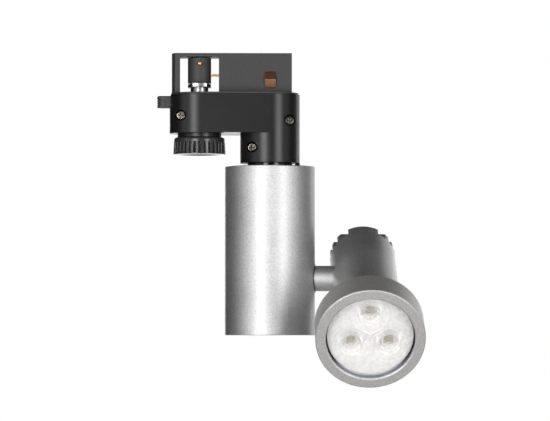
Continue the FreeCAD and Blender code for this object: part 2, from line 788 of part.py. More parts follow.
def can_tube():
    """Outer tube of the driver can."""
    body = tube(CAN_R, CAN_BORE_R, CAN_BOTTOM, CAN_TOP)
    body = body.makeFillet(CAN_EDGE, rim_edges(body, [(CAN_R, CAN_BOTTOM), (CAN_R, CAN_TOP)]))
    arm_hole = rod(BUSH_R, V(CAN_R - 10, 0, TILT_Z), V(CAN_R + 5, 0, TILT_Z))
    return body.cut([arm_hole] + cap_screw_rooms() + block_screw_rooms())


def pan_stop_pin():
    """Pin on the cap that meets the lug under the leg at both ends of the pan travel."""
    x, y = polar(PAN_PIN_REACH, PAN_PIN_ANGLE)
    return post(PAN_PIN_R, COLLAR_BOTTOM - PAN_PIN_SINK, LEG_BOTTOM - PAN_PIN_GAP, x, y)


def bracket_screws():
    """Two pan head screws that hang the driver bracket from the cap."""
    screws = []
    for side in (-1, 1):
        screw = pan_screw(*SMALL_HEAD, SMALL_SHANK_R, BRACKET_SCREW_REACH)
        screw.rotate(V(0, 0, 0), V(1, 0, 0), 180)
        screw.translate(V(BRACKET_SCREW_X, side * BRACKET_SCREW_Y, CAP_BOTTOM - FOOT_T))
        screws.append(screw)
    return group(screws)


def can_top_cap():
    """Cap that closes the can and turns on the nipple."""
    top = COLLAR_BOTTOM - RUN
    plate = post(CAN_BORE_R, CAP_BOTTOM, top)
    hub = post(CAP_HUB_R, CAP_HUB_BOTTOM, CAP_BOTTOM)
    bore = post(NIPPLE_R + RUN, CAP_HUB_BOTTOM, top)
    cap = joined(plate, hub)
    return cap.cut([bore, pan_stop_pin(), bracket_screws()] + cap_screw_rooms())


def bottom_cap_screw():
    """Countersunk screw through the bottom cap into the bracket's foot."""
    screw = flat_screw(*BOTTOM_SCREW)
    screw.rotate(V(0, 0, 0), V(1, 0, 0), 180)
    screw.translate(V(0, 0, BOTTOM_CAP_FACE))
    return screw


def can_bottom_cap():
    """Recessed bottom cap with a ring of vent holes."""
    inner = BOTTOM_CAP_FACE + BOTTOM_CAP_T
    plate = post(CAN_BORE_R, BOTTOM_CAP_FACE, inner)
    skirt = tube(CAN_BORE_R, CAN_BORE_R - BOTTOM_SKIRT_T, inner, inner + BOTTOM_SKIRT_H)
    boss = post(BOTTOM_BOSS_R, inner, FOOT_BOTTOM)
    cuts = [flat_screw_room(*BOTTOM_SCREW)]
    cuts[0].rotate(V(0, 0, 0), V(1, 0, 0), 180)
    cuts[0].translate(V(0, 0, BOTTOM_CAP_FACE))
    for k in range(VENT_COUNT):
        x, y = polar(VENT_RING, k * 360 / VENT_COUNT)
        cuts.append(post(VENT_R, BOTTOM_CAP_FACE, inner, x, y))
    return joined(plate, skirt, boss).cut(cuts)


def case_screws():
    """Two pan head screws that fix the driver's case to the bracket."""
    reach = BRACKET_IN - BRACKET_OUT + CASE_WALL - CASE_SCREW_SHORT
    screws = []
    for z in CASE_SCREW_Z:
        screw = pan_screw(*SMALL_HEAD, SMALL_SHANK_R, reach)
        screw.rotate(V(0, 0, 0), V(0, 1, 0), -90)
        screw.translate(V(BRACKET_OUT, 0, z))
        screws.append(screw)
    return group(screws)


def driver_bracket():
    """Folded strip with a foot under the top cap and a foot for the bottom cap's screw."""
    half = BRACKET_HALF_W
    wall = box(BRACKET_OUT, BRACKET_IN, -half, half, FOOT_BOTTOM, CAP_BOTTOM)
    half = TOP_FOOT_HALF_W
    low = CAP_BOTTOM - FOOT_T
    top_foot = box(BRACKET_OUT, TOP_FOOT_RIGHT, -half, half, low, CAP_BOTTOM)
    half = LOW_FOOT_HALF_W
    high = FOOT_BOTTOM + FOOT_T
    low_foot = box(BRACKET_OUT, LOW_FOOT_RIGHT, -half, half, FOOT_BOTTOM, high)
    boss = post(FOOT_BOSS_R, high, high + FOOT_BOSS_H)
    body = joined(wall, top_foot, low_foot, boss)
    return body.cut([bracket_screws(), bottom_cap_screw(), case_screws()])


def driver_case():
    """Tray of the LED driver, open towards the lid, with four board posts."""
    lid_left = CASE_RIGHT - CASE_WALL
    outer = box(BRACKET_IN, lid_left, -CASE_HALF_W, CASE_HALF_W, CASE_BOTTOM, CASE_TOP)
    half = CASE_HALF_W - CASE_WALL
    floor = BRACKET_IN + CASE_WALL
    room = box(floor, lid_left, -half, half, CASE_BOTTOM + CASE_WALL, CASE_TOP - CASE_WALL)
    body = outer.cut(room)
    for y in (-POST_Y, POST_Y):
        for z in (CASE_BOTTOM + POST_INSET, CASE_TOP - POST_INSET):
            body = body.fuse(rod(POST_R, V(floor, y, z), V(BOARD_LEFT, y, z)))
    return body.cut(case_screws()).removeSplitter()


def driver_lid():
    """Lid of the LED driver with a shallow inner rim."""
    half = CASE_HALF_W
    plate = box(CASE_RIGHT - CASE_WALL, CASE_RIGHT, -half, half, CASE_BOTTOM, CASE_TOP)
    right = CASE_RIGHT - CASE_WALL
    left = right - LID_RIM_H
    half -= CASE_WALL + LID_PLAY
    low = CASE_BOTTOM + CASE_WALL + LID_PLAY
    high = CASE_TOP - CASE_WALL - LID_PLAY
    rim = box(left, right, -half, half, low, high)
    half -= LID_RIM_T
    opening = box(left, right, -half, half, low + LID_RIM_T, high - LID_RIM_T)
    return joined(plate, rim.cut(opening))


def driver_board():
    """Circuit board of the driver."""
    half = BOARD_HALF_W
    low, high = CASE_BOTTOM + BOARD_INSET, CASE_TOP - BOARD_INSET
    return box(BOARD_LEFT, BOARD_FACE, -half, half, low, high)


def on_board(height, width, length):
    """Block on the driver board at the transformer's place."""
    half = width / 2
    low = TRANSFORMER_Z - length / 2
    return box(BOARD_FACE, BOARD_FACE + height, -half, half, low, low + length)


def driver_transformer():
    """Transformer: a core around a coil."""
    return joined(on_board(*CORE_SIZE), on_board(*COIL_SIZE))


def driver_capacitors():
    """Three round capacitors standing on the board."""
    far = BOARD_FACE + CAPACITOR_H
    return group([rod(r, V(BOARD_FACE, y, z), V(far, y, z)) for y, z, r in CAPACITORS])


def terminal_block():
    """Terminal block on the driver's lid, with three screw wells."""
    half = TERMINAL_HALF_W
    right = 2 * TERMINAL_X
    body = box(CASE_RIGHT, right, -half, half, TERMINAL_BOTTOM, TERMINAL_TOP)
    middle = (TERMINAL_BOTTOM + TERMINAL_TOP) / 2
    wells = []
    for y in TERMINAL_ROWS:
        for z in (middle - WELL_OFFSET, middle + WELL_OFFSET):
            wells.append(rod(WELL_R, V(TERMINAL_X, y, z), V(right, y, z)))
    return body.cut(wells)


def driver_input_wires():
    """Three mains wires from the nipple's end to the terminal block."""
    wires = []
    high, low = INPUT_WIRE_BENDS
    left, middle, right = TERMINAL_ROWS
    for (x, y), row in zip(wire_offsets(), (middle, left, right)):
        path = [
            V(x, y, NIPPLE_BOTTOM),
            V(x, y, high),
            V(TERMINAL_X, row, low),
            V(TERMINAL_X, row, TERMINAL_TOP),
        ]
        wires.append(cable(path, INPUT_WIRE_BEND_R, WIRE_R))
    return group(wires)


def lamp_wires():
    """Two wires from the terminal block down to the hollow arm's mouth."""
    wires = []
    for y in (-HEAD_WIRE_SPREAD, HEAD_WIRE_SPREAD):
        path = [
            V(LAMP_WIRE_X, y, TERMINAL_BOTTOM),
            V(LAMP_WIRE_X, y, TILT_Z),
            V(ARM_END_X - WIRE_GAP, y, TILT_Z),
        ]
        wires.append(cable(path, LAMP_WIRE_BEND_R, HEAD_WIRE_R))
    return group(wires)


# ---------------------------------------------------------------- tilt joint


def stop_pin_angles():
    """Plan angles of the stop pins around the tilt axis, tab pointing near the top at rest."""
    half = math.degrees(math.asin(STOP_TAB_W / 2 / STOP_PIN_REACH))
    half += math.degrees(math.asin(STOP_PIN_R / STOP_PIN_REACH)) + STOP_PLAY
    return tab_angle() - TILT_UP - half, tab_angle() + TILT_DOWN + half


def tab_angle():
    """Plan angle of the stop tab at rest; mid travel points straight up."""
    return 180 - (TILT_DOWN - TILT_UP) / 2


def tilt_stop_pins():
    """Two pins in the pivot block that limit the tilt."""
    low, high = BLOCK_LEFT - STOP_PIN_PROUD, BLOCK_LEFT + STOP_PIN_SINK
    pins = []
    for angle in stop_pin_angles():
        x, y = polar(STOP_PIN_REACH, angle)
        pins.append(post(STOP_PIN_R, low, high, x, y))
    return group([on_tilt_axis(pin) for pin in pins])


def pivot_block():
    """Bearing block of the arm, curved to lie against the can's wall."""
    low, high = TILT_Z - BLOCK_HALF_H, TILT_Z + BLOCK_HALF_H
    body = box(BLOCK_LEFT, CAN_R, -BLOCK_HALF_W, BLOCK_HALF_W, low, high)
    body = body.common(post(CAN_BORE_R, low, high))
    wide = on_tilt_axis(post(BUSH_R, BLOCK_SEAT_X, CAN_R))
    narrow = on_tilt_axis(post(ARM_STUB_R + RUN, BLOCK_LEFT, BLOCK_SEAT_X))
    return body.cut([wide, narrow, tilt_stop_pins()] + block_screw_rooms())


def arm_bush():
    """Bearing bush of the arm, pressed into the block and standing slightly out of the can."""
    sleeve = on_tilt_axis(tube(BUSH_R, ARM_R + RUN, BLOCK_SEAT_X, CAN_R + 1))
    low, high = TILT_Z - BUSH_R - 1, TILT_Z + BUSH_R + 1
    return sleeve.common(post(CAN_R + BUSH_PROUD, low, high))


def tilt_friction_washer():
    """Washer between the arm's shoulder and the pivot block."""
    low = ARM_SHOULDER_X - WASHER_T
    return on_tilt_axis(tube(ARM_R - WASHER_PLAY, ARM_STUB_R, low, ARM_SHOULDER_X))


def tilt_stop_washer():
    """Washer on the arm with the tab that meets the stop pins."""
    low = TILT_STACK_X - STOP_WASHER_T
    half = STOP_TAB_W / 2
    disc = post(STOP_WASHER_R, low, TILT_STACK_X)
    tab = turn(box(ARM_STUB_R, STOP_TAB_REACH, -half, half, low, TILT_STACK_X), tab_angle())
    return on_tilt_axis(joined(disc, tab).cut(post(ARM_STUB_R, low, TILT_STACK_X)))


def tilt_spring_washer():
    """Conical spring that loads the tilt joint."""
    top = TILT_STACK_X - STOP_WASHER_T
    low = top - TILT_SPRING_H
    return on_tilt_axis(cone_washer(TILT_SPRING_R, ARM_STUB_R, low, top, TILT_SPRING_T))


def tilt_nut():
    """Nut that sets the drag of the tilt joint."""
    top = TILT_STACK_X - STOP_WASHER_T - TILT_SPRING_H
    return on_tilt_axis(hex_nut(NUT_AF, ARM_STUB_R, top - TILT_NUT_H, top))


def tilt_arm():
    """Hollow arm from the pivot block to the barrel, its end coped to the barrel."""
    start = V(ARM_END_X - HEAD_X, 0, 0)
    stub = rod(ARM_STUB_R, start, V(-ARM_NUT_SEAT + ARM_NUT_THREAD, 0, 0))
    arm = rod(ARM_R, V(ARM_SHOULDER_X - HEAD_X, 0, 0), V(-BARREL_R / 2, 0, 0))
    arm = arm.cut(post(BARREL_R, -BARREL_R, BARREL_R))
    return in_head(joined(arm, stub).cut(rod(ARM_BORE_R, start, V(0, 0, 0))))


def arm_nut():
    """Nut inside the barrel that holds the arm."""
    nut = hex_nut(ARM_NUT_AF, ARM_STUB_R, -ARM_NUT_SEAT, -ARM_NUT_SEAT + ARM_NUT_H)
    return in_head(laid_along_x(nut))


# ---------------------------------------------------------------- lamp head


def at_leds(shape):
    """Copies of an upright shape at the three light sources."""
    copies = []
    for k in range(3):
        x, y = polar(LED_RING_R, 90 + LED_TURN + 120 * k)
        copy = shape.copy()
        copy.rotate(V(0, 0, 0), Z_AXIS, LED_TURN)
        copy.translate(V(x, y, 0))
        copies.append(copy)
    return copies


def head_barrel():
    """Barrel of the head: tube, front flange with rim, arm hole and rear cooling slots."""
    body = post(BARREL_R, BARREL_REAR, RING_REAR)
    body = body.makeChamfer(REAR_CHAMFER, rim_edges(body, [(BARREL_R, BARREL_REAR)]))
    rim_r = RING_BORE_R - RIM_PLAY
    flange = post(rim_r, RING_REAR, FLANGE_FRONT)
    rim = tube(rim_r, RIM_BORE_R, FLANGE_FRONT, RIM_FRONT)
    half = CAVITY_HALF_FLAT
    nut_seat = box(-CAVITY_R, -ARM_NUT_SEAT, -half, half, -half, half)
    cavity = post(CAVITY_R, CAVITY_REAR, FLANGE_FRONT).cut(nut_seat)
    cuts = [cavity, rod(ARM_STUB_R, V(-BARREL_R - 1, 0, 0), V(0, 0, 0))]
    half = FIN_SLOT_W / 2
    front = BARREL_REAR + FIN_SLOT_DEPTH
    for k in range(FIN_SLOTS):
        y = (k - FIN_SLOTS // 2) * FIN_PITCH
        cuts.append(box(-FAR, FAR, y - half, y + half, BARREL_REAR, front))
    return in_head(joined(body, flange, rim).cut(cuts))


def collar_grub_screw():
    """Grub screw underneath that fixes the front collar on the barrel's rim."""
    body = post(GRUB_R, 0, GRUB_H).cut(hexagon(GRUB_SOCKET, GRUB_H - GRUB_SOCKET, GRUB_H))
    body.rotate(V(0, 0, 0), V(1, 0, 0), 90)
    body.translate(V(0, RIM_PLAY - RING_BORE_R, GRUB_FORWARD))
    return in_head(body)


def head_collar():
    """Front collar with a lip around the lens opening and a bevel inside it."""
    body = turned([
        (RING_BORE_R, RING_REAR),
        (RING_R, RING_REAR),
        (RING_R, FRONT - RING_EDGE),
        (RING_R - RING_EDGE, FRONT),
        (LENS_OPENING_R + RING_BEVEL, FRONT),
        (LENS_OPENING_R, FRONT - RING_BEVEL),
        (LENS_OPENING_R, LIP_REAR),
        (RING_BORE_R, LIP_REAR),
    ])
    hole = rod(GRUB_R, V(0, 0, GRUB_FORWARD), V(0, -RING_R - 1, GRUB_FORWARD))
    return in_head(body.cut(hole))


def heat_spreader():
    """Aluminium plug behind the LED board, with a wire hole."""
    return in_head(tube(CAVITY_R - RUN, WIRE_HOLE_R, SPREADER_REAR, FLANGE_FRONT))


def thermal_pad():
    """Soft pad between the LED board and the metal behind it."""
    return in_head(tube(PAD_R, WIRE_HOLE_R, FLANGE_FRONT, FLANGE_FRONT + PAD_T))


def led_board():
    """Round circuit board that carries the light sources."""
    return in_head(tube(LED_BOARD_R, WIRE_HOLE_R, FLANGE_FRONT + PAD_T, BOARD_FRONT))


def led_packages():
    """Three square LED packages."""
    half = LED_SIZE / 2
    package = box(-half, half, -half, half, BOARD_FRONT, BOARD_FRONT + LED_T)
    return in_head(group(at_leds(package)))


def led_domes():
    """Clear domes over the LED chips."""
    top = BOARD_FRONT + LED_T
    dome = Part.makeSphere(DOME_R, V(0, 0, top)).common(post(DOME_R + 1, top, top + DOME_R + 1))
    return in_head(group(at_leds(dome)))


def lens_holder():
    """White holder clamped between the LED board and the lens, with windows for the LEDs."""
    floor = BOARD_FRONT + HOLDER_FLOOR_T
    base = post(HOLDER_R, BOARD_FRONT, floor)
    wall = tube(HOLDER_R, HOLDER_BORE_R, BOARD_FRONT, LENS_REAR)
    return in_head(joined(base, wall).cut(at_leds(post(HOLDER_WINDOW_R, BOARD_FRONT, floor))))


def triple_lens():
    """Clear lens disc with three merged collimator cones, each hollowed over its LED."""
    disc = post(LENS_R, LENS_REAR, LENS_FRONT)
    depth = LENS_REAR - CONE_REAR
    cones = at_leds(Part.makeCone(CONE_TIP_R, CONE_MOUTH_R, depth, V(0, 0, CONE_REAR)))
    hollows = at_leds(post(LENS_HOLLOW_R, CONE_REAR, CONE_REAR + LENS_HOLLOW_DEPTH))
    return in_head(joined(disc, *cones).cut(hollows))


def lens_gasket():
    """Soft ring between the lens and the collar's lip."""
    outer = RING_BORE_R - GASKET_PLAY
    return in_head(tube(outer, GASKET_BORE_R, LENS_FRONT, LIP_REAR))


def head_wires():
    """Two wires from the arm's mouth through the head to the LED board."""
    wires = []
    start = ARM_END_X + WIRE_GAP - HEAD_X
    for side in (-HEAD_WIRE_SPREAD, HEAD_WIRE_SPREAD):
        path = [V(start, side, 0), V(0, side, 0), V(0, side, BOARD_FRONT)]
        wires.append(cable(path, HEAD_WIRE_BEND_R, HEAD_WIRE_R))
    return in_head(group(wires))


NODES = (
    housing_front,
    housing_rear,
    housing_screws,
    contact_carrier,
    neutral_contact,
    earth_contacts,
    pan_nipple,
    nipple_nut,
    pan_collar,
    pan_friction_washer,
    pan_spring_washer,
    pan_lock_nut,
    adapter_wires,
    selector_knob,
    selector_shaft,
    contact_rotor,
    phase_contacts,
    lock_lever,
    lock_sleeve,
    lock_wings,
    can_tube,
    can_top_cap,
    can_bottom_cap,
    cap_screws,
    bottom_cap_screw,
    pan_stop_pin,
    driver_bracket,
    bracket_screws,
    driver_case,
    driver_lid,
    case_screws,
    driver_board,
    driver_transformer,
    driver_capacitors,
    terminal_block,
    driver_input_wires,
    lamp_wires,
    pivot_block,
    pivot_block_screws,
    arm_bush,
    tilt_stop_pins,
    tilt_arm,
    tilt_friction_washer,
    tilt_stop_washer,
    tilt_spring_washer,
    tilt_nut,
    arm_nut,
    head_barrel,
    head_collar,
    collar_grub_screw,
    heat_spreader,
    thermal_pad,
    led_board,
    led_packages,
    led_domes,
    lens_holder,
    triple_lens,
    lens_gasket,
    head_wires,
)

os.makedirs("parts", exist_ok=True)
for node in NODES:
    shape = node()
    shape.exportStep("parts/" + node.__name__ + ".step")
    print(node.__name__, shape.isValid(), len(shape.Solids), round(shape.Volume, 2))
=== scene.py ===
import json
import math

import bmesh
import bpy
from mathutils import Matrix, Vector


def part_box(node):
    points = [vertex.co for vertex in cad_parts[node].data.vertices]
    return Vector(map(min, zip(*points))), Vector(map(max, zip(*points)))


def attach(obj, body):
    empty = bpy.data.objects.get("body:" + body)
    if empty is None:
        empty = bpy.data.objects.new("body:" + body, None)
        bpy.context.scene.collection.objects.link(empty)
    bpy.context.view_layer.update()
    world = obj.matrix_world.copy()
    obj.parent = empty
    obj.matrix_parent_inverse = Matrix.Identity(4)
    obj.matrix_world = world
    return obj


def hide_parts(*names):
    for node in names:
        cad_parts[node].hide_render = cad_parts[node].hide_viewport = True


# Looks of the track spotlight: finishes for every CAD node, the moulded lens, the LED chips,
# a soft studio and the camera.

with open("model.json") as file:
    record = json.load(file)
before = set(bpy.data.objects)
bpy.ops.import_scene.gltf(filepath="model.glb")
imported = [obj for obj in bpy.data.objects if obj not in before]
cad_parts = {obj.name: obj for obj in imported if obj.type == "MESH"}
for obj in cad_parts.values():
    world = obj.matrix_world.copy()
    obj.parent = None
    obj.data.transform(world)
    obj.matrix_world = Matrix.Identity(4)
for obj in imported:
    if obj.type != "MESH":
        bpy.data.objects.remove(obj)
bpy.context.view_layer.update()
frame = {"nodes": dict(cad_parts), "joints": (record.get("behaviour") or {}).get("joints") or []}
nodes = frame["nodes"]
joints = {j["name"]: j for j in frame["joints"]}

MM = 0.001


def centre(node):
    """Middle of a CAD node's box."""
    low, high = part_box(node)
    return (low + high) / 2


# ------------------------------------------------------------------ lamp head directions

TILT = joints["head_tilt"]
PIVOT = Vector((centre("head_barrel").x, 0.0, TILT["pos_m"][2]))
FORWARD = (centre("head_collar") - PIVOT).normalized()
SIDE = Vector((1, 0, 0))
TOP = FORWARD.cross(SIDE)
HEAD = Matrix((
    (SIDE.x, TOP.x, FORWARD.x, PIVOT.x),
    (SIDE.y, TOP.y, FORWARD.y, PIVOT.y),
    (SIDE.z, TOP.z, FORWARD.z, PIVOT.z),
    (0, 0, 0, 1),
))


# ------------------------------------------------------------------ light source places

LED_TURN = math.radians(1)
LED_ANGLES = [LED_TURN + math.radians(90 + 120 * k) for k in range(3)]
LED_RING = 11.9
LED_SPOTS = [(LED_RING * math.cos(a), LED_RING * math.sin(a)) for a in LED_ANGLES]


# ------------------------------------------------------------------ shader building

# Nearly all values of a noise node lie between these two.
GRAIN_LOW = 0.3
GRAIN_HIGH = 0.7
EDGE_SAMPLES = 6


class Nodes:
    """Short helpers for adding and wiring the nodes of one tree."""

    def __init__(self, owner, output):
        owner.use_nodes = True
        self.tree = owner.node_tree
        self.tree.nodes.clear()
        self.output = self.tree.nodes.new(output)

    def add(self, kind, inputs=None, **settings):
        """New node with its settings and inputs."""
        node = self.tree.nodes.new(kind)
        for key, value in settings.items():
            setattr(node, key, value)
        for key, value in (inputs or {}).items():
            self.feed(node, key, value)
        return node

    def feed(self, node, key, value):
        """Wire or set one input from a socket, a node or a value."""
        if isinstance(value, bpy.types.NodeSocket):
            self.tree.links.new(value, node.inputs[key])
        elif isinstance(value, bpy.types.Node):
            self.tree.links.new(value.outputs[0], node.inputs[key])
        elif isinstance(value, (tuple, list)) and len(value) == 3 and node.inputs[key].type == "RGBA":
            node.inputs[key].default_value = (*value, 1.0)
        else:
            node.inputs[key].default_value = value

    def noise(self, where, scale, detail=2.0, roughness=0.5):
        """Random grain from 0 to 1, with features of about 1 / scale metres."""
        return self.add(
            "ShaderNodeTexNoise",
            {"Vector": where, "Scale": scale, "Detail": detail, "Roughness": roughness},
        ).outputs["Fac"]

    def remap(self, value, low, high, to_low, to_high, kind="LINEAR"):
        """Value moved from one range to another and held at its ends."""
        inputs = {"Value": value, "From Min": low, "From Max": high}
        inputs.update({"To Min": to_low, "To Max": to_high})
        return self.add("ShaderNodeMapRange", inputs, interpolation_type=kind).outputs[0]

    def spread(self, grain, to_low, to_high):
        """Grain's usual range stretched to another range."""
        return self.remap(grain, GRAIN_LOW, GRAIN_HIGH, to_low, to_high)

    def math(self, operation, a, b=0.0):
        """Sum, product or another operation on two values."""
        return self.add("ShaderNodeMath", {0: a, 1: b}, operation=operation).outputs[0]

    def length(self, a, b):
        """Root of the sum of two squares."""
        squares = self.math("ADD", self.math("MULTIPLY", a, a), self.math("MULTIPLY", b, b))
        return self.math("SQRT", squares)

    def mix(self, factor, a, b):
        """Colour between two colours."""
        node = self.add("ShaderNodeMix", data_type="RGBA")
        self.feed(node, 0, factor)
        self.feed(node, 6, a)
        self.feed(node, 7, b)
        return node.outputs[2]

    def show(self, surface):
        """Make a shader the tree's result."""
        self.tree.links.new(surface.outputs[0], self.output.inputs[0])


class Shader(Nodes):
    """A new material whose nodes know the object's coordinates."""

    def __init__(self, name):
        self.material = bpy.data.materials.new(name)
        super().__init__(self.material, "ShaderNodeOutputMaterial")

    def place(self):
        """Row-frame coordinates of the shaded point, in metres."""
        return self.add("ShaderNodeTexCoord").outputs["Object"]

    def in_head(self):
        """Coordinates in the lamp head: X right, Y top, Z forward from the pivot, in metres."""
        return self.add(
            "ShaderNodeMapping",
            {"Vector": self.place(), "Location": HEAD.translation, "Rotation": HEAD.to_euler()},
            vector_type="TEXTURE",
        ).outputs[0]

    def bump(self, height, strength, distance, normal=None):
        """Shading normal of a relief, its depth in metres."""
        inputs = {"Height": height, "Strength": strength, "Distance": distance}
        if normal is not None:
            inputs["Normal"] = normal
        return self.add("ShaderNodeBump", inputs).outputs[0]

    def soft_edge(self, radius):
        """Shading normal that rounds sharp edges by a radius in metres."""
        return self.add("ShaderNodeBevel", {"Radius": radius}, samples=EDGE_SAMPLES).outputs[0]

    def finish(self, inputs):
        """The material, with one principled surface."""
        self.show(self.add("ShaderNodeBsdfPrincipled", inputs))
        return self.material


# Shares of the two grain scales, and how many times broader the second one is.
FINE_PART = 0.7
BROAD_PART = 0.3
BROAD_SCALE = 40
ROUGH_SPREAD = 0.04
GRAIN_DEPTH = 0.04 * MM
EDGE_R = 0.3 * MM


def grained(name, dark, light, rough, metallic=0.0, grain=2500.0, bump=0.15, edge=EDGE_R,
            extra=None):
    """Finish with fine two-scale grain in colour, roughness and height."""
    s = Shader(name)
    where = s.place()
    fine = s.noise(where, grain, 3.0, 0.6)
    broad = s.noise(where, grain / BROAD_SCALE, 2.0)
    fine_tone = s.math("MULTIPLY", fine, FINE_PART)
    broad_tone = s.math("MULTIPLY", broad, BROAD_PART)
    tone = s.math("ADD", fine_tone, broad_tone)
    inputs = {
        "Base Color": s.mix(s.spread(tone, 0.0, 1.0), dark, light),
        "Metallic": metallic,
        "Roughness": s.spread(tone, rough - ROUGH_SPREAD, rough + ROUGH_SPREAD),
        "Normal": s.bump(fine, bump, GRAIN_DEPTH, s.soft_edge(edge)),
    }
    inputs.update(extra or {})
    return s.finish(inputs)


def grey(value, tint=0.0):
    """Linear grey with a slight warm tint."""
    return (value * (1 + tint), value, value * (1 - tint))


# ------------------------------------------------------------------ finishes

LACQUER = {
    "Coat Weight": 0.25,
    "Coat Roughness": 0.2,
    "Coat IOR": 1.5,
    "Specular Tint": (*grey(0.8), 1),
}
METALLIC_PAINT = {"metallic": 1.0, "grain": 1300, "bump": 0.25, "extra": LACQUER}
PLASTIC_IOR = 1.45

# Head and arm use lighter copies of the can's silver paint: painted light.
silver = grained("silver_paint", grey(0.44), grey(0.76), 0.555, **METALLIC_PAINT)
silver_head_lit = grained("silver_head_lit", grey(0.50), grey(0.86), 0.54, **METALLIC_PAINT)
silver_arm_lit = grained("silver_arm_lit", grey(0.56), grey(0.86), 0.56, **METALLIC_PAINT)
adapter_black = grained(
    "adapter_plastic", grey(0.006), grey(0.012), 0.33, grain=1500, bump=0.1,
    extra={"IOR": PLASTIC_IOR},
)
lever_black = grained("lever_plastic", grey(0.035), grey(0.05), 0.5, grain=1500, bump=0.3)
knob_black = grained("knob_plastic", grey(0.022), grey(0.036), 0.24, grain=1800, bump=0.04,
                     edge=0.5 * MM)
collar_black = grained("collar_plastic", grey(0.006), grey(0.012), 0.18, grain=1800, bump=0.05)
insulator = grained("insulator", grey(0.03), grey(0.045), 0.55, grain=1200, bump=0.3)


RECESS_REACH = 0.7 * MM
RECESS_SHADE = 0.05
PATCH_DEPTH = 0.1 * MM


def screw_finish():
    """Blackened steel screw head: glinting rim, driver recess darkened by painted shade."""
    s = Shader("screw_steel")
    patches = s.noise(s.place(), 1400, 3.0, 0.6)
    # Painted shade: an occlusion lookup darkens the base colour inside the driver recess.
    inside = s.add("ShaderNodeAmbientOcclusion", {"Distance": RECESS_REACH}, samples=8)
    painted_shade = s.remap(inside.outputs["AO"], 0.45, 0.95, RECESS_SHADE, 1.0)
    tone = s.mix(s.remap(patches, 0.35, 0.65, 0, 1), grey(0.10, 0.1), grey(0.55, 0.08))
    return s.finish({
        "Base Color": s.mix(painted_shade, grey(0.01), tone),
        "Metallic": 1.0,
        "Roughness": s.spread(patches, 0.2, 0.4),
        "Normal": s.bump(patches, 0.5, PATCH_DEPTH, s.soft_edge(EDGE_R)),
    })


screw_steel = screw_finish()
zinc = grained(
    "zinc_steel", grey(0.55, 0.02), grey(0.78, 0.02), 0.24, metallic=1.0, grain=4000, bump=0.1,
)
spring = grained("spring_steel", grey(0.3), grey(0.42), 0.32, metallic=1.0, grain=3000, bump=0.15)
copper = grained("copper", (0.62, 0.27, 0.13), (0.86, 0.45, 0.25), 0.38, metallic=1.0, grain=2500)
aluminium = grained("aluminium", grey(0.6), grey(0.74), 0.3, metallic=1.0, grain=3000, bump=0.15)
polymer = grained("polymer_washer", grey(0.5, 0.04), grey(0.62, 0.04), 0.45, grain=900, bump=0.1)
white_plastic = grained("white_plastic", grey(0.84), grey(0.93), 0.35, grain=800, bump=0.05)
board_white = grained("board_white", grey(0.82), grey(0.9), 0.3, grain=900, bump=0.05)
board_green = grained("board_green", (0.01, 0.07, 0.025), (0.02, 0.12, 0.045), 0.3, grain=700)
ceramic = grained("led_ceramic", (0.36, 0.33, 0.27), (0.46, 0.43, 0.36), 0.4, grain=2500, bump=0.1)
holder_white = grained(
    "holder_plastic", grey(0.62, 0.01), grey(0.70, 0.01), 0.45, grain=800, bump=0.05,
)
soft_pad = grained("thermal_pad", grey(0.10), grey(0.16), 0.7, grain=1500, bump=0.3)
capacitor = grained("capacitor", (0.008, 0.012, 0.035), (0.014, 0.02, 0.06), 0.25, grain=900)
transformer = grained("transformer", (0.42, 0.27, 0.06), (0.6, 0.42, 0.12), 0.45, grain=400)


LIP_WALL_R = 24.1 * MM
PAINT_ROUGH = 0.6
METAL_ROUGH = 0.35


def ring_finish():
    """Painted front collar; inside the lip wall radius a darker bluish colour is painted shade, on a
    smoother metallic surface.
    """
    s = Shader("silver_ring")
    parts = s.add("ShaderNodeSeparateXYZ", {0: s.in_head()}).outputs
    # Painted shade: inside the lip wall radius the colour turns dark and bluish.
    shaded_wall = s.math("LESS_THAN", s.length(parts[0], parts[1]), LIP_WALL_R)
    grain = s.noise(s.place(), 1500, 3.0, 0.6)
    streaks = s.spread(grain, 0, 1)
    # The paint tone is lighter than the can's silver paint: painted light.
    paint = s.mix(streaks, grey(0.55, 0.015), grey(0.80, 0.015))
    wall_shade_tone = s.mix(streaks, (0.27, 0.28, 0.32), (0.36, 0.37, 0.41))
    return s.finish({
        "Base Color": s.mix(shaded_wall, paint, wall_shade_tone),
        "Metallic": 1.0,
        "Roughness": s.add("ShaderNodeMix", {0: shaded_wall, 2: PAINT_ROUGH, 3: METAL_ROUGH}).outputs[0],
        "Normal": s.bump(grain, 0.2, GRAIN_DEPTH, s.soft_edge(0.2 * MM)),
    })


silver_ring = ring_finish()


LOWER_LIGHT_START = -13.0 * MM
LOWER_LIGHT_FULL = -21.0 * MM


def gasket_finish():
    """Dark rubber with painted light: paler and bluish towards the lower edge."""
    s = Shader("gasket_rubber")
    height = s.add("ShaderNodeSeparateXYZ", {0: s.in_head()}).outputs[1]
    # Painted light: the rubber colour turns pale and bluish towards the lower edge.
    painted_light = s.remap(height, LOWER_LIGHT_START, LOWER_LIGHT_FULL, 0, 1)
    grain = s.noise(s.place(), 2500, 2.0)
    rubber_tone = s.mix(grain, grey(0.012), grey(0.022))
    lit_tone = s.mix(grain, (0.38, 0.385, 0.43), (0.46, 0.465, 0.51))
    return s.finish({
        "Base Color": s.mix(painted_light, rubber_tone, lit_tone),
        "Roughness": 0.5,
        "Normal": s.bump(grain, 0.2, GRAIN_DEPTH),
    })


gasket = gasket_finish()


